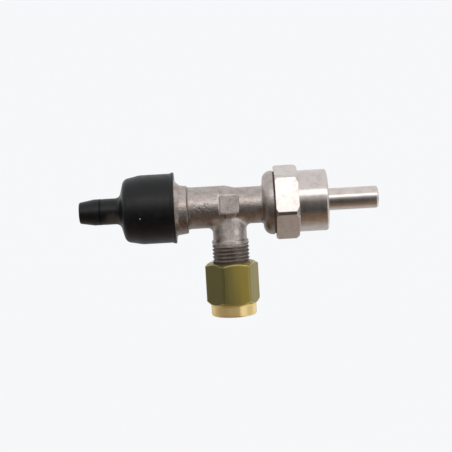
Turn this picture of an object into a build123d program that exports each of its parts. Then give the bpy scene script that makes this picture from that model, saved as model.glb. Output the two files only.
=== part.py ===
from build123d import *
import math
import os

os.makedirs("parts", exist_ok=True)

# How near an edge lies to the station it is picked by
position_tolerance = 0.01

# Sizes in mm. Lengths along X are counted from the branch axis, heights from the mouth of the pipe nut.

# Pipe, threaded branch and the compression joint on its end
pipe_d = 8.0
pipe_clearance = 0.1
pipe_stop = 0.9
pipe_socket_depth = 8.0
branch_length = 30.0
neck_wall = 2.0
neck_length = 12.7
thread_wall = 1.65
thread_depth = 0.83
thread_ring = 1.1
thread_clearance = 0.1
branch_end_chamfer = 0.4
ferrule_length = 5.0
ferrule_wall = 1.0
ferrule_end_wall = 0.4
ferrule_seat = 0.5
cone_gap = 0.05
nut_length = 19.3
nut_guide = 5.1
nut_wall = 1.82
nut_collar_height = 4.0
nut_collar_step = 0.3
nut_edge = 0.7
nut_top_slope = 0.6
nut_round = 0.4
nut_turn = 9.5

# Valve seat, valve head and the barrel round them
seat_x = 6.0
seat_web = 1.5
seat_bore_d = 7.0
seat_lip = 0.6
seat_lip_height = 0.5
seal_margin = 0.15
seal_thickness = 2.0
seal_proud = 0.4
cup_wall = 0.7
cup_base = 1.5
cup_fit = 0.05
flow_gap = 0.55
outlet_wall = 2.0
forging_offset = 0.45
outlet_reach = 31.0
taper_start = -1.0
taper_run = 3.6

# Left head with its band, the spring plug and the spring
plug_step = 1.0
plug_length = 4.5
plug_recess = 1.0
plug_socket_af = 6.0
head_wall = 3.7
head_length = 11.8
head_edge = 0.6
cone_run = 2.4
cone_round = 1.0
band_round = 0.8
band_height = 0.5
band_run = 3.2
shelf_start = 0.4
shelf_length = 4.1
shelf_height = 1.05
shelf_slope = 0.5
shelf_offset = 0.9
shelf_edge = 0.4
spring_wire = 0.9
spring_coils = 6
wire_sides = 8
spring_margin = 0.15
spring_play = 0.2

# Push rod with its stem and tail
rod_d = 8.0
rod_clearance = 0.05
rod_exposed = 18.4
rod_edge = 0.8
rod_shoulder_edge = 0.5
tail_edge = 0.3
rod_reach_in = 2.5
stem_gap = 1.0
tail_step = 0.5
tail_fit = 0.05
tail_over = 0.5
washer_gap = 0.5
washer_thickness = 0.8
pilot_length = 1.5
tail_nut_play = 0.3
tail_nut_thickness = 2.4

# Right flange, gasket, bonnet and the seal stack in it
chamber_gap = 0.75
inlet_wall = 1.9
flange_reach = 16.4
flange_thickness = 3.9
flange_wall = 3.5
flange_round = 3.2
flange_fillet = 1.4
flange_edge = 0.3
socket_floor = 1.1
spigot_wall = 1.9
spigot_gap = 0.4
spigot_edge = 0.3
gasket_thickness = 0.4
gasket_inset = 0.4
hex_length = 8.3
hex_step = 0.9
hex_turn = -13.0
hex_round = 1.4
hex_back_chamfer = 1.2
hex_back_drop = 0.85
hex_front_chamfer = 1.5
hex_front_drop = 1.15
collar_wall = 5.1
collar_length = 10.6
collar_edge = 0.8
guide_length = 6.2
o_ring_d = 2.0
o_ring_play = 0.03
spacer_length = 2.0
thrust_thickness = 0.8
gland_length = 6.0
gland_fit = 0.05
gland_slot = 1.6
gland_slot_depth = 1.8

# Raised pad on the front and the root fillet of the branch
pad_width = 7.0
pad_height = 6.8
pad_x = 0.3
pad_z = 0.95
pad_proud = 0.6
pad_corner = 1.0
pad_edge = 0.4
root_fillet = 1.8

# Rubber boot with its hose nozzle
boot_fit = 0.05
boot_wall = 2.2
boot_rim_flare = 0.35
boot_rim_length = 0.6
boot_rim_run = 0.9
boot_rim_edge = 0.25
boot_rim_ease = 0.2
boot_rim_fillet = 0.5
bell_length = 12.2
dome_length = 5.9
dome_drop = 1.2
dome_ease = 9.0
dome_round = 2.4
shoulder_run = 1.85
shoulder_fillet = 2.2
plenum_depth = 3.0
plenum_cone = 4.5
plenum_inset = 2.8
nozzle_bore_d = 5.0
nozzle_wall = 2.22
neck_run = 6.35
groove_depth = 0.08
groove_width = 0.35
spigot_land = 3.0
nose_length = 5.3
tip_wall = 1.3
tip_edge = 0.6
bead_height = 0.5
bead_width = 1.4
bead_clearance = 0.05

# Radii that follow from the pipe
pipe_bore_r = pipe_d / 2 + pipe_clearance
orifice_r = pipe_bore_r - pipe_stop
neck_r = pipe_bore_r + neck_wall
thread_root_r = pipe_bore_r + thread_wall
thread_r = thread_root_r + thread_depth
nut_bore_r = thread_r + thread_clearance
nut_flat_r = nut_bore_r + nut_wall
nut_collar_r = nut_flat_r - nut_collar_step
ferrule_r = pipe_bore_r + ferrule_wall
ferrule_end_r = pipe_bore_r + ferrule_end_wall

# Heights that follow from the pipe joint, with the mouth of the nut at zero
ferrule_z = nut_guide + ferrule_end_wall + cone_gap
ferrule_top_z = ferrule_z + ferrule_length
branch_end_z = ferrule_top_z - ferrule_seat
axis_z = branch_end_z + branch_length

# Radii that follow from the seat
seat_r = seat_bore_d / 2
lip_r = seat_r + seat_lip
seal_r = lip_r + seal_margin
cup_r = seal_r + cup_fit + cup_wall
outlet_bore_r = cup_r + flow_gap
outlet_r = outlet_bore_r + outlet_wall
plug_r = outlet_bore_r + plug_step
head_r = plug_r + head_wall
band_r = outlet_r + band_height
shelf_r = outlet_r + shelf_height
spring_r = cup_r - spring_margin - spring_wire / 2
spring_inner_r = spring_r - spring_wire / 2
stem_r = seat_r - stem_gap
tail_r = stem_r - tail_step
washer_r = seat_r - washer_gap
pilot_r = spring_inner_r - spring_play

# Radii that follow from the rod
rod_r = rod_d / 2
inlet_bore_r = rod_r + chamber_gap
inlet_r = inlet_bore_r + inlet_wall
gland_bore_r = rod_r + o_ring_d
spigot_r = gland_bore_r + spigot_wall
socket_r = spigot_r + thread_clearance
flange_r = socket_r + flange_wall
collar_r = gland_bore_r + collar_wall
hex_flat_r = collar_r + hex_step
hex_corner_r = hex_flat_r / math.cos(math.pi / 6)

# Stations along X, left of the branch
lip_x = -seat_x - seat_lip_height
seal_back_x = lip_x - seal_thickness
cup_back_x = seal_back_x - cup_base
pilot_x = cup_back_x - pilot_length
tail_nut_x = pilot_x - tail_nut_thickness
tail_x = tail_nut_x - tail_over
stem_x = lip_x + washer_thickness
plug_face_x = plug_recess + plug_length - outlet_reach
head_x = head_length - outlet_reach
bead_x = head_length / 2 - outlet_reach

# Stations along X, right of the branch
flange_back_x = flange_reach - flange_thickness
socket_x = flange_back_x + socket_floor
spigot_x = socket_x + spigot_gap
hex_x = flange_reach + gasket_thickness
collar_x = hex_x + hex_length
collar_end_x = collar_x + collar_length
rod_end_x = collar_end_x + rod_exposed
gland_floor_x = collar_end_x - guide_length
spacer_end_x = gland_floor_x - o_ring_d
spacer_x = spacer_end_x - spacer_length
thrust_end_x = spacer_x - o_ring_d
gland_end_x = thrust_end_x - thrust_thickness
gland_x = gland_end_x - gland_length
rod_shoulder_x = gland_x - rod_reach_in

# Local x is X and local y is Z on this plane through the barrel axis
barrel_plane = Plane(origin=(0, 0, axis_z), x_dir=(1, 0, 0), z_dir=(0, -1, 0))
barrel_axis = Axis((0, 0, axis_z), (1, 0, 0))

# The forging's own axis lies a little below the axis that the bores are turned on
forging_plane = Plane(origin=(0, 0, axis_z - forging_offset), x_dir=(1, 0, 0), z_dir=(0, -1, 0))
forging_axis = Axis((0, 0, axis_z - forging_offset), (1, 0, 0))

flange_drop = flange_r - inlet_r
flange_outer_round = min(flange_round, 0.66 * flange_drop, 0.85 * flange_thickness)
flange_inner_fillet = min(flange_fillet, 0.85 * (flange_drop - flange_outer_round - forging_offset))

with BuildPart() as valve_body:
    # Forged barrel with its band, a little below the machined axis
    with BuildSketch(forging_plane):
        with BuildLine():
            FilletPolyline(
                (head_x, 0),
                (head_x, head_r),
                (head_x + cone_run, band_r),
                (head_x + cone_run + band_run, outlet_r),
                (taper_start, outlet_r),
                (taper_start + taper_run, inlet_r),
                (flange_back_x, inlet_r),
                (flange_back_x, 0),
                radius=[0, cone_round, band_round, 0, 0, 0],
            )
            Line((flange_back_x, 0), (head_x, 0))
        make_face()
    revolve(axis=forging_axis)
    # Right flange, turned true to the bore, with a fillet where the barrel meets it
    with BuildSketch(barrel_plane):
        with BuildLine():
            FilletPolyline(
                (flange_back_x, 0),
                (flange_back_x, flange_r),
                (flange_reach, flange_r),
                (flange_reach, 0),
                radius=[flange_outer_round, flange_edge],
            )
            Line((flange_reach, 0), (flange_back_x, 0))
        make_face()
    revolve(axis=barrel_axis)
    flange_circles = valve_body.edges().filter_by(GeomType.CIRCLE).filter_by(
        lambda e: abs(e.center().X - flange_back_x) < position_tolerance
    )
    fillet(flange_circles.sort_by(SortBy.RADIUS)[0], flange_inner_fillet)
    # Left head with the groove that the boot's bead snaps into
    with BuildSketch(barrel_plane):
        with BuildLine():
            FilletPolyline(
                (-outlet_reach, 0),
                (-outlet_reach, head_r),
                (bead_x - bead_width / 2, head_r),
                (bead_x - bead_width / 2, head_r - bead_height),
                (bead_x + bead_width / 2, head_r - bead_height),
                (bead_x + bead_width / 2, head_r),
                (head_x, head_r),
                (head_x, 0),
                radius=[head_edge, 0, 0, 0, 0, 0],
            )
            Line((head_x, 0), (-outlet_reach, 0))
        make_face()
    revolve(axis=barrel_axis)
    # Forging shelf beside the boot, a little below the barrel axis
    with BuildSketch(Plane(origin=(head_x, 0, axis_z - shelf_offset), x_dir=(1, 0, 0), z_dir=(0, -1, 0))):
        with BuildLine():
            FilletPolyline(
                (shelf_start, 0),
                (shelf_start, shelf_r + shelf_slope),
                (shelf_start + shelf_length, shelf_r),
                (shelf_start + shelf_length, 0),
                radius=[0, shelf_edge],
            )
            Line((shelf_start + shelf_length, 0), (shelf_start, 0))
        make_face()
    revolve(axis=Axis((0, 0, axis_z - shelf_offset), (1, 0, 0)))
    # Threaded branch, with the thread's root as a plain cylinder
    with BuildSketch(Plane.XZ):
        with BuildLine():
            Polyline(
                (0, branch_end_z),
                (thread_root_r - branch_end_chamfer, branch_end_z),
                (thread_root_r, branch_end_z + branch_end_chamfer),
                (thread_root_r, axis_z - neck_length - thread_ring - thread_depth),
                (thread_r, axis_z - neck_length - thread_ring),
                (thread_r, axis_z - neck_length),
                (neck_r, axis_z - neck_length + thread_depth / 2),
                (neck_r, axis_z),
                (0, axis_z),
                close=True,
            )
        make_face()
    revolve(axis=Axis.Z)
    root_edges = valve_body.edges().filter_by(
        lambda e: abs(e.center().X) < neck_r
        and axis_z - outlet_r - root_fillet < e.center().Z < axis_z - root_fillet
        and e.geom_type not in (GeomType.LINE, GeomType.CIRCLE)
    )
    fillet(root_edges, root_fillet)
    # Raised pad that carries the maker's cast mark, left bare
    with BuildSketch(Plane(origin=(pad_x, 0, axis_z + pad_z), x_dir=(1, 0, 0), z_dir=(0, -1, 0))):
        RectangleRounded(pad_width, pad_height, pad_corner)
    extrude(amount=outlet_r + pad_proud)
    pad_rim = valve_body.faces().filter_by(Axis.Y).sort_by(Axis.Y)[0].edges()
    fillet(pad_rim, pad_edge)
    # Bores along the barrel, with the lip of the valve seat left standing
    with BuildSketch(barrel_plane):
        with BuildLine():
            Polyline(
                (-outlet_reach, 0),
                (-outlet_reach, plug_r),
                (plug_face_x, plug_r),
                (plug_face_x, outlet_bore_r),
                (-seat_x, outlet_bore_r),
                (-seat_x, lip_r),
                (lip_x, lip_r),
                (lip_x, seat_r),
                (seat_web - seat_x, seat_r),
                (seat_web - seat_x, inlet_bore_r),
                (socket_x, inlet_bore_r),
                (socket_x, socket_r),
                (flange_reach, socket_r),
                (flange_reach, 0),
                close=True,
            )
        make_face()
    revolve(axis=barrel_axis, mode=Mode.SUBTRACT)
    # Bore of the branch: orifice, pipe stop, pipe socket and the cone for the ferrule
    with BuildSketch(Plane.XZ):
        with BuildLine():
            Polyline(
                (0, branch_end_z),
                (ferrule_end_r + cone_gap + ferrule_seat, branch_end_z),
                (ferrule_end_r + cone_gap, ferrule_top_z),
                (pipe_bore_r, ferrule_top_z + ferrule_end_wall + cone_gap),
                (pipe_bore_r, branch_end_z + pipe_socket_depth),
                (orifice_r, branch_end_z + pipe_socket_depth),
                (orifice_r, axis_z),
                (0, axis_z),
                close=True,
            )
        make_face()
    revolve(axis=Axis.Z, mode=Mode.SUBTRACT)
valve_body.part.label = "valve_body"
export_step(valve_body.part, "parts/valve_body.step")

with BuildPart() as bonnet_gasket:
    with BuildSketch(barrel_plane):
        with BuildLine():
            Polyline(
                (flange_reach, socket_r),
                (flange_reach, flange_r - gasket_inset),
                (hex_x, flange_r - gasket_inset),
                (hex_x, socket_r),
                close=True,
            )
        make_face()
    revolve(axis=barrel_axis)
bonnet_gasket.part.label = "bonnet_gasket"
export_step(bonnet_gasket.part, "parts/bonnet_gasket.step")

hex_face_r = hex_corner_r - hex_front_drop
hex_back_r = hex_corner_r - hex_back_drop

with BuildPart() as bonnet:
    # Hexagon with rounded edges, chamfered at both ends by a turned profile
    with BuildSketch(Plane(origin=(collar_x, 0, axis_z), x_dir=(0, -1, 0), z_dir=(-1, 0, 0))) as hex_section:
        RegularPolygon(hex_flat_r, 6, major_radius=False, rotation=hex_turn)
        fillet(hex_section.vertices(), hex_round)
    extrude(amount=hex_length)
    with BuildSketch(barrel_plane):
        with BuildLine():
            Polyline(
                (hex_x, 0),
                (hex_x, hex_back_r),
                (hex_x + hex_back_chamfer, hex_corner_r),
                (collar_x - hex_front_chamfer, hex_corner_r),
                (collar_x, hex_face_r),
                (collar_x, 0),
                close=True,
            )
        make_face()
    revolve(axis=barrel_axis, mode=Mode.INTERSECT)
    # Round collar and the threaded spigot
    with BuildSketch(barrel_plane):
        with BuildLine():
            FilletPolyline(
                (spigot_x, 0),
                (spigot_x, spigot_r),
                (hex_x + hex_length / 2, spigot_r),
                (hex_x + hex_length / 2, collar_r),
                (collar_end_x, collar_r),
                (collar_end_x, 0),
                radius=[spigot_edge, 0, 0, collar_edge],
            )
            Line((collar_end_x, 0), (spigot_x, 0))
        make_face()
    revolve(axis=barrel_axis)
    # Rod guide and the gland bore behind it
    with BuildSketch(barrel_plane):
        with BuildLine():
            Polyline(
                (spigot_x, 0),
                (spigot_x, gland_bore_r),
                (gland_floor_x, gland_bore_r),
                (gland_floor_x, rod_r + rod_clearance),
                (collar_end_x, rod_r + rod_clearance),
                (collar_end_x, 0),
                close=True,
            )
        make_face()
    revolve(axis=barrel_axis, mode=Mode.SUBTRACT)
bonnet.part.label = "bonnet"
export_step(bonnet.part, "parts/bonnet.step")

with BuildPart() as push_rod:
    with BuildSketch(barrel_plane):
        with BuildLine():
            FilletPolyline(
                (tail_x, 0),
                (tail_x, tail_r),
                (stem_x, tail_r),
                (stem_x, stem_r),
                (rod_shoulder_x, stem_r),
                (rod_shoulder_x, rod_r),
                (rod_end_x, rod_r),
                (rod_end_x, 0),
                radius=[tail_edge, 0, 0, 0, rod_shoulder_edge, rod_edge],
            )
            Line((rod_end_x, 0), (tail_x, 0))
        make_face()
    revolve(axis=barrel_axis)
push_rod.part.label = "push_rod"
export_step(push_rod.part, "parts/push_rod.step")

with BuildPart() as seal_washer:
    with BuildSketch(barrel_plane):
        with BuildLine():
            Polyline(
                (lip_x, tail_r + tail_fit),
                (lip_x, washer_r),
                (stem_x, washer_r),
                (stem_x, tail_r + tail_fit),
                close=True,
            )
        make_face()
    revolve(axis=barrel_axis)
seal_washer.part.label = "seal_washer"
export_step(seal_washer.part, "parts/seal_washer.step")

with BuildPart() as seat_seal:
    with BuildSketch(barrel_plane):
        with BuildLine():
            Polyline(
                (seal_back_x, tail_r + tail_fit),
                (seal_back_x, seal_r),
                (lip_x, seal_r),
                (lip_x, tail_r + tail_fit),
                close=True,
            )
        make_face()
    revolve(axis=barrel_axis)
seat_seal.part.label = "seat_seal"
export_step(seat_seal.part, "parts/seat_seal.step")

with BuildPart() as poppet:
    # Cup for the seal with a pilot for the spring behind it
    with BuildSketch(barrel_plane):
        with BuildLine():
            Polyline(
                (pilot_x, tail_r + tail_fit),
                (pilot_x, pilot_r),
                (cup_back_x, pilot_r),
                (cup_back_x, cup_r),
                (lip_x - seal_proud, cup_r),
                (lip_x - seal_proud, seal_r + cup_fit),
                (seal_back_x, seal_r + cup_fit),
                (seal_back_x, tail_r + tail_fit),
                close=True,
            )
        make_face()
    revolve(axis=barrel_axis)
poppet.part.label = "poppet"
export_step(poppet.part, "parts/poppet.step")

with BuildPart() as poppet_nut:
    with BuildSketch(Plane(origin=(pilot_x, 0, axis_z), x_dir=(0, -1, 0), z_dir=(-1, 0, 0))):
        RegularPolygon(spring_inner_r - tail_nut_play, 6)
        Circle(tail_r + tail_fit, mode=Mode.SUBTRACT)
    extrude(amount=tail_nut_thickness)
poppet_nut.part.label = "poppet_nut"
export_step(poppet_nut.part, "parts/poppet_nut.step")

spring_length = cup_back_x - plug_face_x - spring_wire

with BuildPart() as return_spring:
    # The wire's section has few sides, because the helix repeats it along every coil
    with BuildLine() as spring_path:
        Helix(
            pitch=spring_length / spring_coils,
            height=spring_length,
            radius=spring_r,
            center=(plug_face_x + spring_wire / 2, 0, axis_z),
            direction=(1, 0, 0),
        )
    with BuildSketch(Plane(origin=spring_path.line @ 0, z_dir=spring_path.line % 0)):
        RegularPolygon(spring_wire / 2, wire_sides)
    sweep(path=spring_path.line, is_frenet=True)
return_spring.part.label = "return_spring"
export_step(return_spring.part, "parts/return_spring.step")

with BuildPart() as spring_retainer:
    # Threaded plug with a hexagon socket that the flow goes through
    with BuildSketch(Plane(origin=(plug_face_x, 0, axis_z), x_dir=(0, -1, 0), z_dir=(-1, 0, 0))):
        Circle(plug_r - thread_clearance)
        RegularPolygon(plug_socket_af / 2, 6, major_radius=False, mode=Mode.SUBTRACT)
    extrude(amount=plug_length)
spring_retainer.part.label = "spring_retainer"
export_step(spring_retainer.part, "parts/spring_retainer.step")

ring_mid_r = (rod_r + gland_bore_r) / 2
ring_section_r = o_ring_d / 2 - o_ring_play

with BuildPart() as outer_o_ring:
    with BuildSketch(Plane(origin=(gland_floor_x - o_ring_d / 2, 0, axis_z + ring_mid_r), z_dir=(0, -1, 0))):
        Circle(ring_section_r)
    revolve(axis=barrel_axis)
outer_o_ring.part.label = "outer_o_ring"
export_step(outer_o_ring.part, "parts/outer_o_ring.step")

with BuildPart() as spacer_ring:
    with BuildSketch(barrel_plane):
        with BuildLine():
            Polyline(
                (spacer_x, rod_r + rod_clearance),
                (spacer_x, gland_bore_r - gland_fit),
                (spacer_end_x, gland_bore_r - gland_fit),
                (spacer_end_x, rod_r + rod_clearance),
                close=True,
            )
        make_face()
    revolve(axis=barrel_axis)
spacer_ring.part.label = "spacer_ring"
export_step(spacer_ring.part, "parts/spacer_ring.step")

with BuildPart() as inner_o_ring:
    with BuildSketch(Plane(origin=(spacer_x - o_ring_d / 2, 0, axis_z + ring_mid_r), z_dir=(0, -1, 0))):
        Circle(ring_section_r)
    revolve(axis=barrel_axis)
inner_o_ring.part.label = "inner_o_ring"
export_step(inner_o_ring.part, "parts/inner_o_ring.step")

with BuildPart() as thrust_washer:
    with BuildSketch(barrel_plane):
        with BuildLine():
            Polyline(
                (gland_end_x, rod_r + rod_clearance),
                (gland_end_x, gland_bore_r - gland_fit),
                (thrust_end_x, gland_bore_r - gland_fit),
                (thrust_end_x, rod_r + rod_clearance),
                close=True,
            )
        make_face()
    revolve(axis=barrel_axis)
thrust_washer.part.label = "thrust_washer"
export_step(thrust_washer.part, "parts/thrust_washer.step")

with BuildPart() as gland_screw:
    # Threaded bush that guides the rod and holds the stack, with a slot for its driver
    with BuildSketch(Plane(origin=(gland_end_x, 0, axis_z), x_dir=(0, -1, 0), z_dir=(-1, 0, 0))):
        Circle(gland_bore_r - gland_fit)
        Circle(rod_r + rod_clearance, mode=Mode.SUBTRACT)
    extrude(amount=gland_length)
    with BuildSketch(Plane(origin=(gland_x, 0, axis_z), x_dir=(0, -1, 0), z_dir=(1, 0, 0))):
        Rectangle(gland_slot, 4 * gland_bore_r)
    extrude(amount=gland_slot_depth, mode=Mode.SUBTRACT)
gland_screw.part.label = "gland_screw"
export_step(gland_screw.part, "parts/gland_screw.step")

boot_bore_r = head_r + boot_fit
bell_r = boot_bore_r + boot_wall
dome_x = head_x - bell_length
shoulder_x = dome_x - dome_length
neck_x = shoulder_x - shoulder_run
groove_x = neck_x - neck_run
nose_x = groove_x - spigot_land
tip_x = nose_x - nose_length
nozzle_bore_r = nozzle_bore_d / 2
nozzle_neck_r = nozzle_bore_r + nozzle_wall
plenum_x = plenum_depth + outlet_reach

with BuildPart() as rubber_boot:
    # Outside: flared rim, bell, drooping dome, steep shoulder, spigot with a witness groove and tapered nose
    with BuildSketch(barrel_plane):
        with BuildLine():
            FilletPolyline(
                (head_x, 0),
                (head_x, bell_r + boot_rim_flare),
                (head_x - boot_rim_length, bell_r + boot_rim_flare),
                (head_x - boot_rim_length - boot_rim_run, bell_r),
                (dome_x, bell_r),
                (shoulder_x, bell_r - dome_drop),
                (neck_x, nozzle_neck_r),
                (groove_x + groove_width, nozzle_neck_r),
                (groove_x + groove_width, nozzle_neck_r - groove_depth),
                (groove_x, nozzle_neck_r - groove_depth),
                (groove_x, nozzle_neck_r),
                (nose_x, nozzle_neck_r),
                (tip_x, nozzle_bore_r + tip_wall),
                (tip_x, 0),
                radius=[
                    boot_rim_edge,
                    boot_rim_ease,
                    boot_rim_fillet,
                    dome_ease,
                    dome_round,
                    shoulder_fillet,
                    0,
                    0,
                    0,
                    0,
                    0,
                    tip_edge,
                ],
            )
            Line((tip_x, 0), (head_x, 0))
        make_face()
    revolve(axis=barrel_axis)
    # Inside: the bore with its bead, the seat on the head's end, the plenum and the nozzle bore
    with BuildSketch(barrel_plane):
        with BuildLine():
            Polyline(
                (head_x, 0),
                (head_x, boot_bore_r),
                (bead_x + bead_width / 2 - bead_clearance, boot_bore_r),
                (bead_x + bead_width / 2 - bead_clearance, boot_bore_r - bead_height),
                (bead_x - bead_width / 2 + bead_clearance, boot_bore_r - bead_height),
                (bead_x - bead_width / 2 + bead_clearance, boot_bore_r),
                (-outlet_reach, boot_bore_r),
                (-outlet_reach, boot_bore_r - plenum_inset),
                (-plenum_x, boot_bore_r - plenum_inset),
                (-plenum_x - plenum_cone, nozzle_bore_r),
                (tip_x, nozzle_bore_r),
                (tip_x, 0),
                close=True,
            )
        make_face()
    revolve(axis=barrel_axis, mode=Mode.SUBTRACT)
rubber_boot.part.label = "rubber_boot"
export_step(rubber_boot.part, "parts/rubber_boot.step")

nut_corner_r = nut_flat_r / math.cos(math.pi / 6)
nut_step = nut_corner_r - nut_collar_r

with BuildPart() as compression_nut:
    # Hexagon, chamfered by a turned profile down to the round collar
    with BuildSketch(Plane.XY) as nut_section:
        RegularPolygon(nut_flat_r, 6, major_radius=False, rotation=nut_turn)
        fillet(nut_section.vertices(), nut_round)
    extrude(amount=nut_length)
    with BuildSketch(Plane.XZ):
        with BuildLine():
            FilletPolyline(
                (0, 0),
                (nut_collar_r, 0),
                (nut_collar_r, nut_collar_height),
                (nut_corner_r, nut_collar_height + nut_step),
                (nut_corner_r, nut_length - nut_step * nut_top_slope),
                (nut_collar_r, nut_length),
                (0, nut_length),
                radius=[nut_edge, 0, 0, 0, 0],
            )
            Line((0, nut_length), (0, 0))
        make_face()
    revolve(axis=Axis.Z, mode=Mode.INTERSECT)
    # Thread bore, the cone that squeezes the ferrule and the guide for the pipe
    with BuildSketch(Plane.XZ):
        with BuildLine():
            Polyline(
                (0, 0),
                (pipe_bore_r, 0),
                (pipe_bore_r, nut_guide),
                (ferrule_r + cone_gap, nut_guide + ferrule_wall + cone_gap),
                (nut_bore_r, nut_guide + ferrule_wall + cone_gap),
                (nut_bore_r, nut_length),
                (0, nut_length),
                close=True,
            )
        make_face()
    revolve(axis=Axis.Z, mode=Mode.SUBTRACT)
compression_nut.part.label = "compression_nut"
export_step(compression_nut.part, "parts/compression_nut.step")

ferrule_rise = ferrule_wall - ferrule_end_wall

with BuildPart() as ferrule:
    with BuildSketch(Plane.XZ):
        with BuildLine():
            Polyline(
                (pipe_bore_r, ferrule_z),
                (ferrule_end_r, ferrule_z),
                (ferrule_r, ferrule_z + ferrule_rise),
                (ferrule_r, ferrule_top_z - ferrule_rise),
                (ferrule_end_r, ferrule_top_z),
                (pipe_bore_r, ferrule_top_z),
                close=True,
            )
        make_face()
    revolve(axis=Axis.Z)
ferrule.part.label = "ferrule"
export_step(ferrule.part, "parts/ferrule.step")
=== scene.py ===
import math

import bmesh
import bpy
from mathutils import Matrix, Vector


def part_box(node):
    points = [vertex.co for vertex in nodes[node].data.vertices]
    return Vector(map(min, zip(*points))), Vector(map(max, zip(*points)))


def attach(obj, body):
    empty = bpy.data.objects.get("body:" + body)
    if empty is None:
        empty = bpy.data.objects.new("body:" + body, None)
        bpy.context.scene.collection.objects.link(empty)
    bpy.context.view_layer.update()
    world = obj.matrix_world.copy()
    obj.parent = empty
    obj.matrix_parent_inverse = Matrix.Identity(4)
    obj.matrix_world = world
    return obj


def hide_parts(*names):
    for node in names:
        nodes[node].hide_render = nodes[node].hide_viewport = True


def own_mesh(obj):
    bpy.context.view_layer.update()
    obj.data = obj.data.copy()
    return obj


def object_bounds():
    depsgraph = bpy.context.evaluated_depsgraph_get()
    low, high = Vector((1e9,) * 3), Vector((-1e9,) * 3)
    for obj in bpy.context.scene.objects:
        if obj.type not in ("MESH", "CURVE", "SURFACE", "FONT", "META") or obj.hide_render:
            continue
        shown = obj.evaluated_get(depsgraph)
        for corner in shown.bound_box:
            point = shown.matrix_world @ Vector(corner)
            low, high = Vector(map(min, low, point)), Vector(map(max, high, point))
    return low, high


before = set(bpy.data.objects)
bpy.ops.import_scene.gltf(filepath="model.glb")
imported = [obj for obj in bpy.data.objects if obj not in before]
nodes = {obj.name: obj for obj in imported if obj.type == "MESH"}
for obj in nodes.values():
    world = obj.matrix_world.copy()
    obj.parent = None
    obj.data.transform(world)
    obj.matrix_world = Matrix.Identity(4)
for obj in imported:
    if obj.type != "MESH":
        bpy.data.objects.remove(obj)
cadLow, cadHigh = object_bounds()
scene = bpy.context.scene
millimetre = 0.001
print("frame loaded with", len(nodes), "nodes")

# The barrel's axis runs along X at the height of the rod's centre
rodLow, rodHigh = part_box("push_rod")
barrelZ = (rodLow.z + rodHigh.z) / 2


def linear(hexCode):
    # sRGB hex to the linear colour that the shaders want
    channels = [int(hexCode[i:i + 2], 16) / 255 for i in (0, 2, 4)]
    return tuple(c / 12.92 if c <= 0.04045 else ((c + 0.055) / 1.055) ** 2.4 for c in channels) + (1.0,)


def addNode(tree, kind, inputs=None, **settings):
    # one node, its settings, and its sockets set or linked
    node = tree.nodes.new(kind)
    for name, value in settings.items():
        setattr(node, name, value)
    for key, value in (inputs or {}).items():
        if isinstance(value, bpy.types.NodeSocket):
            tree.links.new(value, node.inputs[key])
        else:
            node.inputs[key].default_value = value
    return node


def newMaterial(name):
    material = bpy.data.materials.new(name)
    material.use_nodes = True
    tree = material.node_tree
    coords = tree.nodes.new("ShaderNodeTexCoord").outputs["Object"]
    return material, tree, tree.nodes["Principled BSDF"], coords


def perMetre(sizeMm):
    # noise scale that makes one cell of a pattern this many millimetres
    return 1 / (sizeMm * millimetre)


def dress(material, *names):
    for name in names:
        mesh = nodes[name].data
        mesh.materials.clear()
        mesh.materials.append(material)


# Most of a noise's values lie between these two
noiseLow, noiseHigh = 0.3, 0.7
# A quarter turn of the tangent draws the sheen out across the tool's rings
quarterTurn = 0.25


def toolRings(tree, coords, axis, ringMm, detail=3.0):
    # the turning tool's rings: noise that changes only along the turned axis
    place = addNode(tree, "ShaderNodeSeparateXYZ", {"Vector": coords})
    rings = addNode(tree, "ShaderNodeTexNoise", {
        "W": place.outputs[axis], "Scale": perMetre(ringMm), "Detail": detail}, noise_dimensions="1D")
    return rings.outputs["Fac"], place.outputs[axis]


def between(tree, value, start, full, most=1.0):
    # zero at the start, rising to its most where the value is full
    return addNode(tree, "ShaderNodeMapRange", {
        "Value": value, "From Min": start, "From Max": full, "To Max": most}).outputs["Result"]


def spread(tree, value, low, high):
    # the middle of a noise stretched between two levels
    return addNode(tree, "ShaderNodeMapRange", {
        "Value": value, "From Min": noiseLow, "From Max": noiseHigh,
        "To Min": low, "To Max": high}).outputs["Result"]


def reckon(tree, operation, *values):
    return addNode(tree, "ShaderNodeMath", dict(enumerate(values)), operation=operation).outputs["Value"]


def times(tree, first, second, plus=0.0):
    return reckon(tree, "MULTIPLY_ADD", first, second, plus)


def vectors(tree, operation, output, *values):
    return addNode(tree, "ShaderNodeVectorMath", dict(enumerate(values)), operation=operation).outputs[output]


def blend(tree, share, first, second):
    return addNode(tree, "ShaderNodeMix", {0: share, 6: first, 7: second}, data_type="RGBA").outputs[2]


def noise(tree, coords, sizeMm, detail=4.0):
    return addNode(tree, "ShaderNodeTexNoise", {
        "Vector": coords, "Scale": perMetre(sizeMm), "Detail": detail}).outputs["Fac"]


def spot(tree, coords, placeMm, sizeMm, core, share):
    # a soft round spot, its place in millimetres from where the barrel's axis meets the branch's
    centre = Vector(placeMm) * millimetre + Vector((0, 0, barrelZ))
    away = vectors(tree, "DISTANCE", "Value", coords, centre)
    return between(tree, away, sizeMm * millimetre, sizeMm * millimetre * core, share)


def roughen(tree, height, s, samples=4):
    # bump over edges that the shader rounds off
    rounded = addNode(tree, "ShaderNodeBevel", {"Radius": s["edgeMm"] * millimetre}, samples=samples)
    return addNode(tree, "ShaderNodeBump", {
        "Height": height, "Distance": s["bumpMm"] * millimetre,
        "Normal": rounded.outputs["Normal"]}).outputs["Normal"]


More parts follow.
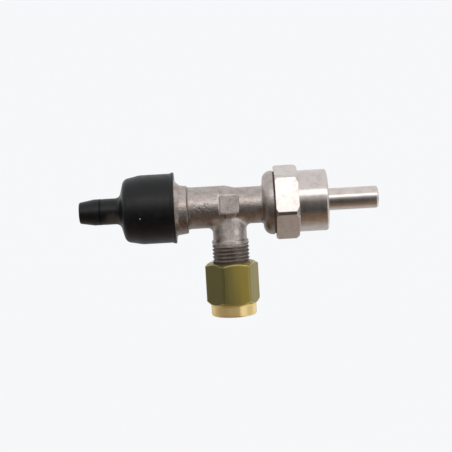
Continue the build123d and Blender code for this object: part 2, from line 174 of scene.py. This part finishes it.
def turnedCorners(tree, coords, normal, s):
    # a hexagon's corners, turned down by the lathe, face straight out from the axis
    arm = vectors(tree, "SUBTRACT", "Vector", coords, s["axisAt"])
    outward = vectors(tree, "MULTIPLY", "Vector", arm, s["acrossAxis"])
    far = vectors(tree, "LENGTH", "Value", outward)
    facing = vectors(tree, "NORMALIZE", "Vector", outward)
    share = between(tree, far, s["cornerRadius"], s["cornerRadius"] + s["cornerBlend"])
    return addNode(tree, "ShaderNodeMix", {0: share, 4: normal, 5: facing}, data_type="VECTOR").outputs[1]


def plug(tree, shader, links):
    for socket, value in links.items():
        tree.links.new(value, shader.inputs[socket])


def seenDirectly(tree):
    # one for the rays of the camera, of reflections and of transmission, zero for the light itself
    light = tree.nodes.new("ShaderNodeLightPath").outputs
    seen = reckon(tree, "MAXIMUM", light["Is Camera Ray"], light["Is Glossy Ray"])
    return reckon(tree, "MAXIMUM", seen, light["Is Transmission Ray"])


def glowOnly(tree, shader, colour):
    tree.nodes.remove(shader)
    glow = addNode(tree, "ShaderNodeEmission", {"Color": colour})
    tree.links.new(glow.outputs["Emission"], tree.nodes["Material Output"].inputs["Surface"])


def turnedMetal(name, s, stainDetail=5.0, stainFrom=0.48, stainFull=0.74):
    # stains in the colour, tool rings in the gloss and the bump, and the sheen drawn out across the rings
    material, tree, shader, coords = newMaterial(name)
    rings, along = toolRings(tree, coords, "X", s["ringMm"])
    turned = between(tree, along, s["turnedFrom"], s["turnedFrom"] + s["turnedBlend"])
    grain = noise(tree, coords, s["grainMm"])
    stains = between(tree, noise(tree, coords, s["stainMm"], stainDetail), stainFrom, stainFull, s["stainShare"])
    streaked = addNode(tree, "ShaderNodeMix", {0: turned, 2: grain, 3: rings}, data_type="FLOAT").outputs[0]
    around = addNode(tree, "ShaderNodeTangent", direction_type="RADIAL", axis="X")
    normal = roughen(tree, streaked, s)
    if "cornerRadius" in s:
        normal = turnedCorners(tree, coords, normal, s)
    shader.inputs["Metallic"].default_value = 1.0
    shader.inputs["Anisotropic Rotation"].default_value = quarterTurn
    plug(tree, shader, {
        "Base Color": blend(tree, stains, linear(s["pale"]), linear(s["stain"])),
        "Roughness": spread(tree, streaked, s["roughLow"], s["roughHigh"]),
        "Anisotropic": times(tree, turned, s["streak"]),
        "Tangent": around.outputs["Tangent"],
        "Normal": normal,
    })
    return material


# Nickel-plated brass, turned from hexagon bar: bright, with rings round the collar, plain flats and turned corners
turnedNickel = turnedMetal("nickelPlatedBrassTurned", {
    "pale": "d2c9c4", "stain": "b09f94", "stainMm": 2.5, "stainShare": 0.5, "grainMm": 0.6, "ringMm": 0.4,
    "roughLow": 0.18, "roughHigh": 0.27, "bumpMm": 0.003, "edgeMm": 0.4, "streak": 0.6,
    "turnedFrom": 24.8 * millimetre, "turnedBlend": 0.3 * millimetre,
    "axisAt": (0, 0, barrelZ), "acrossAxis": (0, 1, 1),
    "cornerRadius": 13.5 * millimetre, "cornerBlend": 0.05 * millimetre,
})

# Stainless steel, ground and polished: the brightest metal here, with faint grinding rings
polishedSteel = turnedMetal("stainlessSteelPolished", {
    "pale": "d6ccc6", "stain": "b5a69c", "stainMm": 3.5, "stainShare": 0.4, "grainMm": 0.5, "ringMm": 0.4,
    "roughLow": 0.14, "roughHigh": 0.24, "bumpMm": 0.003, "edgeMm": 0.2, "streak": 0.5,
    "turnedFrom": rodLow.x, "turnedBlend": 0.3 * millimetre,
})

# Brass turned on a lathe, for the pieces inside: yellow, with plain tool rings
turnedBrass = turnedMetal("brassTurned", {
    "pale": "d9b565", "stain": "a8843e", "stainMm": 3.0, "stainShare": 0.5, "grainMm": 0.4, "ringMm": 0.4,
    "roughLow": 0.2, "roughHigh": 0.35, "bumpMm": 0.01, "edgeMm": 0.1, "streak": 0.5,
    "turnedFrom": cadLow.x, "turnedBlend": 0.3 * millimetre,
})

# Spring steel, drawn wire: grey and fairly bright
drawnSteel = turnedMetal("springSteelDrawn", {
    "pale": "b4b2b0", "stain": "8a8783", "stainMm": 2.0, "stainShare": 0.4, "grainMm": 0.3, "ringMm": 0.6,
    "roughLow": 0.25, "roughHigh": 0.4, "bumpMm": 0.005, "edgeMm": 0.05, "streak": 0.0,
    "turnedFrom": cadLow.x, "turnedBlend": 0.3 * millimetre,
})

# Nickel-plated brass, drop-forged: a dull warm grey skin, pitted and brown-stained, darker towards the bottom and
# in a ring at the shelf's rim, with painted shade in a strip below the pad and grime by the head, cleaner on the
# pad, and ringed by the tool on the branch
forgedFinish = {
    "pale": "b9b0ac", "stain": "86694f", "stainMm": 2.2, "stainShare": 0.42,
    "stainDetail": 5.0, "stainFrom": 0.42, "stainFull": 0.7,
    "pit": "6b5d54", "pitMm": 0.8, "pitShare": 0.2, "pitDetail": 2.0, "pitFrom": 0.5, "pitFull": 0.66,
    "grainMm": 0.45, "roughLow": 0.27, "roughHigh": 0.4, "bumpMm": 0.09, "edgeMm": 0.3,
    "patchAt": (-10.0, -7.5, -1.5), "patchMm": 4.5, "patchCore": 0.5, "patchShare": 0.5,
    "padZ": barrelZ + 0.95 * millimetre, "padHalf": 3.5 * millimetre, "padBlend": 0.3 * millimetre,
    "frontFrom": -5.0 * millimetre, "frontFull": -6.4 * millimetre,
    "headFrom": -16.5 * millimetre, "headFull": -19.5 * millimetre, "headShare": 0.45,
    # one dark brown for the grime by the head and the painted shade below the pad, also laid darker towards the
    # bottom and at the shelf's rim
    "grimeAndShade": "4a382b", "darkerBelowShare": 0.5, "grimeAndShadeThin": 0.5,
    "darkerBelowTop": barrelZ - 2 * millimetre, "darkerBelowFull": barrelZ - 7 * millimetre,
    # painted shade in a strip below the pad
    "padShadowShare": 0.75, "footX": 0.25 * millimetre, "footHalf": 1.85 * millimetre,
    "rimX": -14.65 * millimetre, "rimHalf": 0.35 * millimetre, "rimShare": 0.6,
    "soilAt": (-15.8, -6.5, -5.6), "soilMm": 4.0, "soilCore": 0.4, "soilShare": 0.75,
    "turned": "e8dfdb", "ringMm": 0.5, "ringShare": 0.3, "streak": 0.95, "turnedRougher": 0.15,
    "turnedTop": barrelZ - 3.7 * millimetre, "turnedBottom": barrelZ - 15.5 * millimetre,
    "turnedBlend": 1.2 * millimetre, "branchInner": 4.6 * millimetre, "branchOuter": 7.0 * millimetre,
}


def makeForgedNickel(s):
    material, tree, shader, coords = newMaterial("nickelPlatedBrassForged")
    rings, up = toolRings(tree, coords, "Z", s["ringMm"])
    place = addNode(tree, "ShaderNodeSeparateXYZ", {"Vector": coords}).outputs
    along = place["X"]
    aside = reckon(tree, "ABSOLUTE", along)
    forward = between(tree, place["Y"], s["frontFrom"], s["frontFull"])
    # where the metal is clean: the pad on the front and the turned branch
    padEdge = s["padHalf"] + s["padBlend"]
    overPad = reckon(tree, "ABSOLUTE", reckon(tree, "SUBTRACT", up, s["padZ"]))
    onPad = times(tree, forward, times(tree, between(tree, aside, padEdge, s["padHalf"]),
                                       between(tree, overPad, padEdge, s["padHalf"])))
    belowTop = between(tree, up, s["turnedTop"], s["turnedTop"] - s["turnedBlend"])
    aboveBottom = between(tree, up, s["turnedBottom"], s["turnedBottom"] + s["turnedBlend"])
    inFront = between(tree, aside, s["branchOuter"], s["branchInner"])
    clean = reckon(tree, "MAXIMUM", onPad, times(tree, times(tree, belowTop, aboveBottom), inFront))
    # stains all over, more on the head, and pits all over, more in one patch
    grain = noise(tree, coords, s["grainMm"])
    onHead = between(tree, along, s["headFrom"], s["headFull"], s["headShare"])
    onPatch = spot(tree, coords, s["patchAt"], s["patchMm"], s["patchCore"], s["patchShare"])
    stainNoise = between(tree, noise(tree, coords, s["stainMm"], s["stainDetail"]), s["stainFrom"], s["stainFull"])
    pitNoise = between(tree, noise(tree, coords, s["pitMm"], s["pitDetail"]), s["pitFrom"], s["pitFull"])
    stains = times(tree, stainNoise, reckon(tree, "ADD", onHead, s["stainShare"]))
    pits = times(tree, pitNoise, reckon(tree, "ADD", onPatch, s["pitShare"]))
    skin = blend(tree, clean, linear(s["pale"]), linear(s["turned"]))
    stained = blend(tree, stains, skin, linear(s["stain"]))
    # darker towards the bottom, painted shade in a strip below the pad, a darker ring on the shelf's rim and grime
    # in one spot by the head
    # darker towards the bottom of the body
    under = between(tree, up, s["darkerBelowTop"], s["darkerBelowFull"], s["darkerBelowShare"])
    # painted shade: a darker strip on the front just below the pad
    padFoot = s["padZ"] - s["padHalf"]
    inStrip = reckon(tree, "COMPARE", along, s["footX"], s["footHalf"])
    belowPad = between(tree, up, padFoot, padFoot - s["padBlend"], s["padShadowShare"])
    padShadow = times(tree, belowPad, times(tree, forward, inStrip))
    onRim = reckon(tree, "COMPARE", along, s["rimX"], s["rimHalf"])
    rimAndPadShadow = times(tree, onRim, s["rimShare"], padShadow)
    byHead = spot(tree, coords, s["soilAt"], s["soilMm"], s["soilCore"], s["soilShare"])
    dirtAndShade = reckon(tree, "MAXIMUM", reckon(tree, "MAXIMUM", under, rimAndPadShadow), byHead)
    unturned = spread(tree, clean, 1.0, 0.0)
    grimeAndShade = times(tree, times(tree, dirtAndShade, unturned), spread(tree, grain, s["grimeAndShadeThin"], 1.0))
    soiledAndShaded = blend(tree, grimeAndShade, stained, linear(s["grimeAndShade"]))
    upright = addNode(tree, "ShaderNodeCombineXYZ", {"Z": 1.0})
    height = times(tree, pits, -1.0, times(tree, times(tree, rings, clean), s["ringShare"], grain))
    shader.inputs["Metallic"].default_value = 1.0
    plug(tree, shader, {
        "Base Color": blend(tree, pits, soiledAndShaded, linear(s["pit"])),
        "Roughness": times(tree, clean, s["turnedRougher"], spread(tree, grain, s["roughLow"], s["roughHigh"])),
        "Anisotropic": times(tree, clean, s["streak"]),
        "Tangent": upright.outputs["Vector"],
        "Normal": roughen(tree, height, s),
    })
    return material


forgedNickel = makeForgedNickel(forgedFinish)
threadNickel = makeForgedNickel({**forgedFinish, "roughLow": 0.52, "roughHigh": 0.66})
print("metals mixed")

# Brass nut from drawn hexagon bar: tarnished olive flats lined along the bar, with painted shade on the left and
# painted light towards the right, worn edges and turned corners, and a collar turned bright below them
nutFinish = {
    "flat": "d8c064", "flatDark": "918858", "collar": "ffe3a0",
    "worn": "fbe29a", "wornMm": 0.5, "wornSamples": 6, "wornFrom": 1.0, "wornFull": 0.9,
    # painted light: the span across the nut over which the flats go from the shaded colour to the lit one
    "sideLightFrom": -4.0 * millimetre, "sideLightFull": 5.4 * millimetre, "sideLightEnd": 6.4 * millimetre,
    "sideLightShare": 0.85,
    "stainMm": 3.0, "stainDetail": 5.0, "patchy": 0.15, "lineMm": 0.5, "lineLong": 12.0,
    "flatRough": 0.42, "collarRough": 0.42, "bumpMm": 0.008, "edgeMm": 0.6, "ringMm": 0.4,
    "streak": 0.9, "collarTop": 4.2 * millimetre, "collarBlend": 0.4 * millimetre,
    "axisAt": (0, 0, 0), "acrossAxis": (1, 1, 0),
    "cornerRadius": 9.53 * millimetre, "cornerBlend": 0.05 * millimetre,
}


def makeNutBrass(s):
    material, tree, shader, coords = newMaterial("brassDrawnBarTurnedCollar")
    rings, up = toolRings(tree, coords, "Z", s["ringMm"])
    onFlat = between(tree, up, s["collarTop"], s["collarTop"] + s["collarBlend"])
    onCollar = between(tree, up, s["collarTop"] + s["collarBlend"], s["collarTop"], s["streak"])
    drawn = vectors(tree, "MULTIPLY", "Vector", coords, (1, 1, 1 / s["lineLong"]))
    lines = noise(tree, drawn, s["lineMm"])
    across = addNode(tree, "ShaderNodeSeparateXYZ", {"Vector": coords}).outputs["X"]
    # painted light and shade: the flats darken towards the left and lighten towards the right, then fall dark
    # again at the far right
    sideLight = times(tree, between(tree, across, s["sideLightFrom"], s["sideLightFull"]),
                   between(tree, across, s["sideLightEnd"], s["sideLightFull"]))
    patchy = spread(tree, noise(tree, drawn, s["stainMm"], s["stainDetail"]), -s["patchy"], s["patchy"])
    sideLightAndPatches = times(tree, sideLight, s["sideLightShare"], patchy)
    tarnishAndSideLight = blend(tree, sideLightAndPatches, linear(s["flatDark"]), linear(s["flat"]))
    softEdge = addNode(tree, "ShaderNodeBevel", {"Radius": s["wornMm"] * millimetre}, samples=s["wornSamples"])
    trueFace = addNode(tree, "ShaderNodeNewGeometry").outputs["Normal"]
    agree = vectors(tree, "DOT_PRODUCT", "Value", softEdge.outputs["Normal"], trueFace)
    worn = blend(tree, between(tree, agree, s["wornFrom"], s["wornFull"]), tarnishAndSideLight, linear(s["worn"]))
    height = addNode(tree, "ShaderNodeMix", {0: onFlat, 2: rings, 3: lines}, data_type="FLOAT").outputs[0]
    gloss = addNode(tree, "ShaderNodeMapRange", {
        "Value": onFlat, "To Min": s["collarRough"], "To Max": s["flatRough"]}).outputs["Result"]
    around = addNode(tree, "ShaderNodeTangent", direction_type="RADIAL", axis="Z")
    shader.inputs["Metallic"].default_value = 1.0
    shader.inputs["Anisotropic Rotation"].default_value = quarterTurn
    plug(tree, shader, {
        "Base Color": blend(tree, onFlat, linear(s["collar"]), worn),
        "Roughness": gloss,
        "Anisotropic": onCollar,
        "Tangent": around.outputs["Tangent"],
        "Normal": turnedCorners(tree, coords, roughen(tree, height, s), s),
    })
    return material


# Nitrile rubber, moulded: near black and matt, with a soft sheen, grey dust, a brown stain at the neck, one pale
# speck and a dull mould line round the nozzle
bootFinish = {
    "black": "0a0a0c", "dust": "242426", "brown": "57493a", "grainMm": 0.5,
    "dustMm": 2.2, "dustDetail": 8.0, "dustFrom": 0.55, "dustFull": 0.8, "dustShare": 0.35,
    "roughLow": 0.34, "roughHigh": 0.46, "shine": 0.34, "bumpMm": 0.02, "edgeMm": 0.2, "spotCore": 0.4,
    "stainAt": (-41.6, -4.4, -2.8), "stainMm": 3.4, "stainShare": 0.5,
    "mouldX": -46.2 * millimetre, "mouldHalf": 0.45 * millimetre, "mouldCore": 0.5, "mouldShine": -0.2,
    "speckAt": (-31.35, -12.2, -2.1), "speckMm": 0.32, "speck": "b9b9b9",
}


def makeBootRubber(s):
    material, tree, shader, coords = newMaterial("nitrileRubberMoulded")
    grain = noise(tree, coords, s["grainMm"])
    dust = noise(tree, coords, s["dustMm"], s["dustDetail"])
    dusty = between(tree, dust, s["dustFrom"], s["dustFull"], s["dustShare"])
    colour = blend(tree, dusty, linear(s["black"]), linear(s["dust"]))
    stain = spot(tree, coords, s["stainAt"], s["stainMm"], s["spotCore"], s["stainShare"])
    colour = blend(tree, stain, colour, linear(s["brown"]))
    speck = spot(tree, coords, s["speckAt"], s["speckMm"], s["spotCore"], 1.0)
    along = addNode(tree, "ShaderNodeSeparateXYZ", {"Vector": coords}).outputs["X"]
    offLine = reckon(tree, "ABSOLUTE", reckon(tree, "SUBTRACT", along, s["mouldX"]))
    onLine = between(tree, offLine, s["mouldHalf"], s["mouldHalf"] * s["mouldCore"])
    plug(tree, shader, {
        "Base Color": blend(tree, speck, colour, linear(s["speck"])),
        "Roughness": spread(tree, dust, s["roughLow"], s["roughHigh"]),
        "Specular IOR Level": times(tree, onLine, s["mouldShine"], s["shine"]),
        "Normal": roughen(tree, grain, s),
    })
    return material


# Gasket fibre, pressed: dark, dull and a little fibrous
gasketFinish = {
    "dark": "463b34", "light": "6e6056", "fibreMm": 0.8, "fibreDetail": 6.0, "rough": 0.8, "bumpMm": 0.03,
}


def makeGasketFibre(s):
    material, tree, shader, coords = newMaterial("gasketFibrePressed")
    fibre = noise(tree, coords, s["fibreMm"], s["fibreDetail"])
    bump = addNode(tree, "ShaderNodeBump", {"Height": fibre, "Distance": s["bumpMm"] * millimetre})
    shader.inputs["Roughness"].default_value = s["rough"]
    plug(tree, shader, {
        "Base Color": blend(tree, fibre, linear(s["dark"]), linear(s["light"])),
        "Normal": bump.outputs["Normal"],
    })
    return material


bootRubber = makeBootRubber(bootFinish)
dress(forgedNickel, "valve_body")
dress(turnedNickel, "bonnet")
dress(polishedSteel, "push_rod")
dress(makeNutBrass(nutFinish), "compression_nut")
dress(bootRubber, "rubber_boot", "seat_seal", "outer_o_ring", "inner_o_ring")
dress(makeGasketFibre(gasketFinish), "bonnet_gasket")
dress(turnedBrass, "ferrule", "seal_washer", "poppet", "poppet_nut", "spring_retainer",
      "spacer_ring", "thrust_washer", "gland_screw")
dress(drawnSteel, "return_spring")
print("nodes dressed")


def helixTree(name, profile, wireSides=16):
    # a right-hand spiral up Z with a section swept along it, sizes as named inputs
    tree = bpy.data.node_groups.new(name, "GeometryNodeTree")
    for label, kind in (("Turns", "NodeSocketFloat"), ("Radius", "NodeSocketFloat"), ("Rise", "NodeSocketFloat"),
                        ("Section Height", "NodeSocketFloat"), ("Section Base", "NodeSocketFloat"),
                        ("Section Crest", "NodeSocketFloat"), ("Steps", "NodeSocketInt"),
                        ("Material", "NodeSocketMaterial")):
        tree.interface.new_socket(label, in_out="INPUT", socket_type=kind)
    tree.interface.new_socket("Geometry", in_out="OUTPUT", socket_type="NodeSocketGeometry")
    given = tree.nodes.new("NodeGroupInput").outputs
    spiral = addNode(tree, "GeometryNodeCurveSpiral", {
        "Resolution": given["Steps"], "Rotations": given["Turns"], "Start Radius": given["Radius"],
        "End Radius": given["Radius"], "Height": given["Rise"], "Reverse": True})
    upright = addNode(tree, "GeometryNodeSetCurveNormal", {"Curve": spiral.outputs["Curve"]}, mode="Z_UP")
    if profile == "ridge":
        section = addNode(tree, "GeometryNodeCurvePrimitiveQuadrilateral", {
            "Height": given["Section Height"], "Bottom Width": given["Section Base"],
            "Top Width": given["Section Crest"], "Offset": 0.0}, mode="TRAPEZOID")
    else:
        section = addNode(tree, "GeometryNodeCurvePrimitiveCircle", {
            "Radius": given["Section Height"], "Resolution": wireSides}, mode="RADIUS")
    swept = addNode(tree, "GeometryNodeCurveToMesh", {
        "Curve": upright.outputs["Curve"], "Profile Curve": section.outputs["Curve"], "Fill Caps": True})
    real = addNode(tree, "GeometryNodeRealizeInstances", {"Geometry": swept.outputs["Mesh"]})
    painted = addNode(tree, "GeometryNodeSetMaterial", {
        "Geometry": real.outputs["Geometry"], "Material": given["Material"]})
    addNode(tree, "NodeGroupOutput", {"Geometry": painted.outputs["Geometry"]})
    return tree


def growMesh(name, tree, sizes, place):
    # run a tree on an empty mesh, then keep the result as a plain mesh at the origin
    seed = bpy.data.objects.new(name + "Seed", bpy.data.meshes.new(name + "Seed"))
    scene.collection.objects.link(seed)
    modifier = seed.modifiers.new("grow", "NODES")
    modifier.node_group = tree
    for item in tree.interface.items_tree:
        if item.in_out == "INPUT":
            modifier[item.identifier] = sizes[item.name]
    evaluated = seed.evaluated_get(bpy.context.evaluated_depsgraph_get())
    mesh = bpy.data.meshes.new_from_object(evaluated)
    seed.modifiers.remove(modifier)
    bpy.data.objects.remove(seed)
    mesh.transform(place)
    mesh.name = name
    piece = bpy.data.objects.new(name, mesh)
    scene.collection.objects.link(piece)
    return piece


def closeUp(piece, weldMm=0.001):
    # weld, turn the faces outwards and shade smooth
    shell = bmesh.new()
    shell.from_mesh(piece.data)
    bmesh.ops.remove_doubles(shell, verts=shell.verts, dist=weldMm * millimetre)
    bmesh.ops.recalc_face_normals(shell, faces=shell.faces)
    for face in shell.faces:
        face.smooth = True
    shell.to_mesh(piece.data)
    shell.free()


# Right-hand pipe thread on the branch, from under the plain ring down into the nut
branchThread = {
    "pitch": 1.337 * millimetre, "rootRadius": 5.75 * millimetre, "crestRadius": 6.56 * millimetre,
    "sink": 0.1 * millimetre, "base": 1.25 * millimetre, "crest": 0.22 * millimetre,
    "top": barrelZ - 14.0 * millimetre, "bottom": barrelZ - 29.0 * millimetre, "stepsPerTurn": 72,
}


def makeThread(s):
    rise = s["top"] - s["bottom"]
    depth = s["crestRadius"] - s["rootRadius"] + s["sink"]
    turns = rise / s["pitch"]
    piece = growMesh("branch_thread", helixTree("branchThreadTree", "ridge"), {
        "Turns": turns, "Radius": s["crestRadius"] - depth / 2, "Rise": rise,
        "Section Height": depth, "Section Base": s["base"], "Section Crest": s["crest"],
        "Steps": s["stepsPerTurn"], "Material": threadNickel,
    }, Matrix.Translation((0, 0, s["bottom"])))
    closeUp(piece)
    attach(piece, "valve")
    return piece


thread = makeThread(branchThread)
print("thread cut:", len(thread.data.polygons), "faces")

# The return spring, an even spiral from its left end on the plug to the valve head on its right
springLow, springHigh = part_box("return_spring")
springShape = {"wire": 0.45 * millimetre, "coils": 6, "stepsPerTurn": 48, "travel": 4 * millimetre}


def makeSpring(s):
    length = springHigh.x - springLow.x
    radius = (springHigh.y - springLow.y) / 2 - s["wire"]
    layAlongX = Matrix.Translation((springLow.x + s["wire"], 0, barrelZ)) @ Matrix.Rotation(math.pi / 2, 4, "Y")
    piece = growMesh("return_spring_wire", helixTree("returnSpringTree", "wire"), {
        "Turns": float(s["coils"]), "Radius": radius, "Rise": length - 2 * s["wire"],
        "Section Height": s["wire"], "Section Base": 0.0, "Section Crest": 0.0,
        "Steps": s["stepsPerTurn"], "Material": drawnSteel,
    }, layAlongX)
    closeUp(piece)
    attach(piece, "valve")
    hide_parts("return_spring")
    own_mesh(piece)
    return piece


spring = makeSpring(springShape)
print("spring wound:", len(spring.data.polygons), "faces")

# Camera of the photograph: a long lens a little above the barrel, rolled so that the rod end rides high
cameraSetup = {
    "lensMm": 102.5, "sensorMm": 36.0, "nearest": 0.01, "distance": 0.466, "elevation": 6.0, "roll": 3.25,
    "target": (-1.25 * millimetre, 0.0, barrelZ - 7.6 * millimetre),
}


def makeCamera(s):
    lens = bpy.data.cameras.new("photoCamera")
    lens.sensor_width = s["sensorMm"]
    lens.lens = s["lensMm"]
    lens.clip_start = s["nearest"]
    camera = bpy.data.objects.new("photoCamera", lens)
    scene.collection.objects.link(camera)
    tilt = math.radians(s["elevation"])
    roll = math.radians(s["roll"])
    backward = Vector((0, -math.cos(tilt), math.sin(tilt)))
    right = Vector((1, 0, 0))
    up = backward.cross(right)
    rolledRight = right * math.cos(roll) - up * math.sin(roll)
    rolledUp = up * math.cos(roll) + right * math.sin(roll)
    turn = Matrix((rolledRight, rolledUp, backward)).transposed().to_4x4()
    camera.matrix_world = Matrix.Translation(Vector(s["target"]) + backward * s["distance"]) @ turn
    scene.camera = camera


makeCamera(cameraSetup)

# Paper sweep: a pale floor well below the valve that curves up into the backdrop
sweepSetup = {
    "floorZ": -0.18, "front": -2.0, "bendStart": 0.7, "bendRadius": 0.4, "top": 2.2, "halfWidth": 2.5,
    "bendSteps": 16, "white": "fcfdff", "paper": "f2f2f2", "shine": 0.9,
}


def makeSweep(s):
    outline = [(s["front"], s["floorZ"]), (s["bendStart"], s["floorZ"])]
    for step in range(1, s["bendSteps"] + 1):
        turn = math.pi / 2 * step / s["bendSteps"]
        outline.append((s["bendStart"] + s["bendRadius"] * math.sin(turn),
                        s["floorZ"] + s["bendRadius"] * (1 - math.cos(turn))))
    outline.append((s["bendStart"] + s["bendRadius"], s["top"]))
    corners = [(x, y, z) for y, z in outline for x in (-s["halfWidth"], s["halfWidth"])]
    faces = [(2 * i, 2 * i + 1, 2 * i + 3, 2 * i + 2) for i in range(len(outline) - 1)]
    mesh = bpy.data.meshes.new("paperSweep")
    mesh.from_pydata(corners, [], faces)
    for face in mesh.polygons:
        face.use_smooth = True
    material, tree, shader, _ = newMaterial("paperSweepMatt")
    tree.nodes.remove(shader)
    paper = addNode(tree, "ShaderNodeBsdfDiffuse", {"Color": linear(s["paper"])})
    glow = addNode(tree, "ShaderNodeEmission", {"Color": linear(s["white"])})
    share = reckon(tree, "MULTIPLY", seenDirectly(tree), s["shine"])
    mixed = addNode(tree, "ShaderNodeMixShader", {
        0: share, 1: paper.outputs["BSDF"], 2: glow.outputs["Emission"]})
    tree.links.new(mixed.outputs["Shader"], tree.nodes["Material Output"].inputs["Surface"])
    mesh.materials.append(material)
    sweep = bpy.data.objects.new("paperSweep", mesh)
    scene.collection.objects.link(sweep)


makeSweep(sweepSetup)

# Dark card round the front and underside that only reflections see: it gives the metal its dark lower half.
# Plain tones by angle: white at its upper edge, dark grey in front, tan below and pale grey underneath
cardSetup = {
    "radius": 0.2, "left": -0.4, "right": 0.11, "farRight": 0.4, "start": 24.0, "end": -175.0, "steps": 64,
    "stops": ((24, "f0f0f0"), (0, "707070"), (-30, "484848"), (-70, "907860"), (-110, "c8c8c8"), (-175, "c8c8c8")),
    "leftTint": "5c5c5c", "rightTint": "a0a0a0",
}


def makeCard(s):
    corners = []
    for step in range(s["steps"] + 1):
        angle = math.radians(s["start"] + (s["end"] - s["start"]) * step / s["steps"])
        y = -s["radius"] * math.cos(angle)
        z = barrelZ + s["radius"] * math.sin(angle)
        corners += [(s["left"], y, z), (s["right"], y, z), (s["farRight"], y, z)]
    faces = [(3 * i, 3 * i + 1, 3 * i + 4, 3 * i + 3) for i in range(s["steps"])]
    hub = len(corners)
    corners += [(s["left"], 0, barrelZ), (s["farRight"], 0, barrelZ)]
    faces += [(hub, 3 * i, 3 * i + 3) for i in range(s["steps"])]
    faces += [(hub + 1, 3 * i + 2, 3 * i + 5) for i in range(s["steps"])]
    mesh = bpy.data.meshes.new("darkCard")
    mesh.from_pydata(corners, [], faces)
    sheet = mesh.uv_layers.new(name="around")
    for face in mesh.polygons:
        for loop in face.loop_indices:
            sheet.data[loop].uv = (mesh.loops[loop].vertex_index // 3 / s["steps"], 0.5)
    material, tree, shader, _ = newMaterial("darkCardPainted")
    around = addNode(tree, "ShaderNodeUVMap", uv_map="around")
    split = addNode(tree, "ShaderNodeSeparateXYZ", {"Vector": around.outputs["UV"]})
    ramp = addNode(tree, "ShaderNodeValToRGB", {"Fac": split.outputs["X"]})
    stops = ramp.color_ramp.elements
    stops[0].color = linear(s["stops"][0][1])
    stops[1].color = linear(s["stops"][-1][1])
    for angle, tint in s["stops"][1:-1]:
        stops.new((angle - s["start"]) / (s["end"] - s["start"])).color = linear(tint)
    glowOnly(tree, shader, ramp.outputs["Color"])
    mesh.materials.append(material)
    for tint in (s["leftTint"], s["rightTint"]):
        endMaterial, tree, shader, _ = newMaterial("darkCardEnd")
        glowOnly(tree, shader, linear(tint))
        mesh.materials.append(endMaterial)
    for face in mesh.polygons:
        face.material_index = face.index // s["steps"]
    card = bpy.data.objects.new("darkCard", mesh)
    scene.collection.objects.link(card)
    card.visible_camera = False
    card.visible_diffuse = False
    card.visible_shadow = False


makeCard(cardSetup)

# One wide soft box over the camera and an even white room
lightSetup = {
    "watts": 1.15, "wide": 1.1, "tall": 0.3, "shift": 0.1, "distance": 0.75, "angle": 33.5,
    "room": 0.6, "white": "f7f8fa",
}


def makeLight(s):
    lamp = bpy.data.lights.new("softBox", "AREA")
    lamp.shape = "RECTANGLE"
    lamp.size = s["wide"]
    lamp.size_y = s["tall"]
    lamp.energy = s["watts"]
    angle = math.radians(s["angle"])
    away = Vector((0, -math.cos(angle), math.sin(angle)))
    box = bpy.data.objects.new("softBox", lamp)
    scene.collection.objects.link(box)
    box.matrix_world = (Matrix.Translation(Vector((s["shift"], 0, barrelZ)) + away * s["distance"])
                        @ away.to_track_quat("Z", "X").to_matrix().to_4x4()
                        @ Matrix.Rotation(math.pi / 2, 4, "Z"))
    world = bpy.data.worlds.new("whiteRoom")
    scene.world = world
    world.use_nodes = True
    tree = world.node_tree
    level = addNode(tree, "ShaderNodeMapRange", {"Value": seenDirectly(tree), "To Min": s["room"], "To Max": 1.0})
    room = tree.nodes["Background"]
    room.inputs["Color"].default_value = linear(s["white"])
    tree.links.new(level.outputs["Result"], room.inputs["Strength"])


makeLight(lightSetup)
scene.view_settings.view_transform = "Standard"
print("studio lit")
